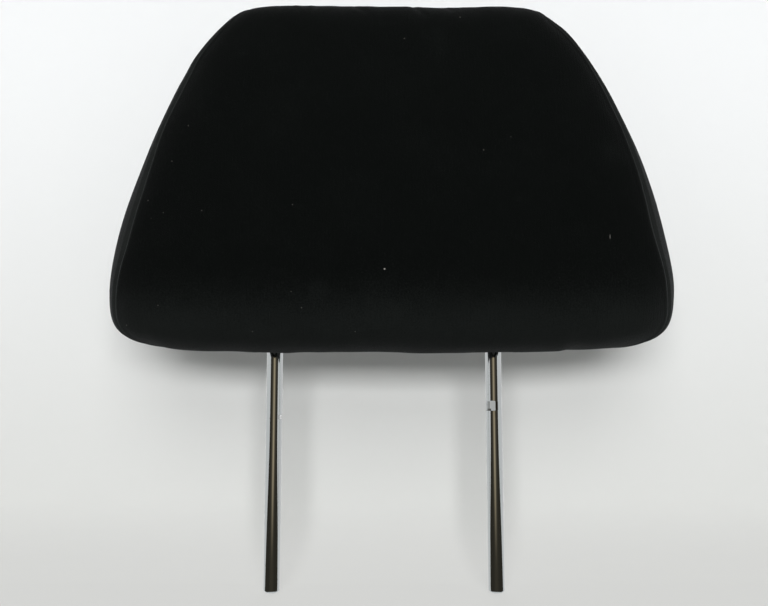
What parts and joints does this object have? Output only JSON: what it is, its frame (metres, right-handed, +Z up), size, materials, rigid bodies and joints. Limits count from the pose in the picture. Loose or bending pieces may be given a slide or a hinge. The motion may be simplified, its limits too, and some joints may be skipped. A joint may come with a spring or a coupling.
{
  "type": "car headrest",
  "caption": "Padded car headrest on chromed posts, with a wrapped velour cover, side gussets and a pad that tilts on the posts' cross bar.",
  "frame": {"origin": "Midway between the flat ends of the two posts, on the line that joins them.", "axes": "+Z runs up along the posts, -Y is the side that meets the head, +X points to the right in a view of that side."},
  "size_m": [0.3388, 0.1112, 0.3504],
  "materials": {
    "chromed_steel": "polished",
    "bright_steel": "satin zinc plated",
    "black_velour": "short napped velour",
    "moulded_foam": "moulded open cell foam",
    "black_plastic": "fine grained",
    "pale_plastic": "smooth"
  },
  "bodies": {
    "frame": {"post_frame": "chromed_steel", "stop_collar": "bright_steel", "collar_pin": "bright_steel"},
    "pad": {"foam_core": "moulded_foam", "carrier_front": "black_plastic", "carrier_rear": "black_plastic", "carrier_screw_1": "bright_steel", "carrier_screw_2": "bright_steel", "carrier_screw_3": "bright_steel", "carrier_screw_4": "bright_steel", "pivot_bush_left": "pale_plastic", "pivot_bush_right": "pale_plastic", "friction_clip_left": "bright_steel", "friction_clip_right": "bright_steel", "clip_screw_left": "bright_steel", "clip_screw_right": "bright_steel", "post_bezel_left": "black_plastic", "post_bezel_right": "black_plastic", "closure_hook_front": "black_plastic", "closure_hook_rear": "black_plastic", "cover_main_panel": "black_velour", "cover_side_left": "black_velour", "cover_side_right": "black_velour"}
  },
  "joints": [
    {"name": "pad_tilt", "type": "hinge", "parent": "frame", "child": "pad", "pos_m": [0, 0, 0.25], "axis": [1, 0, 0], "range_deg": [0, 15]}
  ]
}
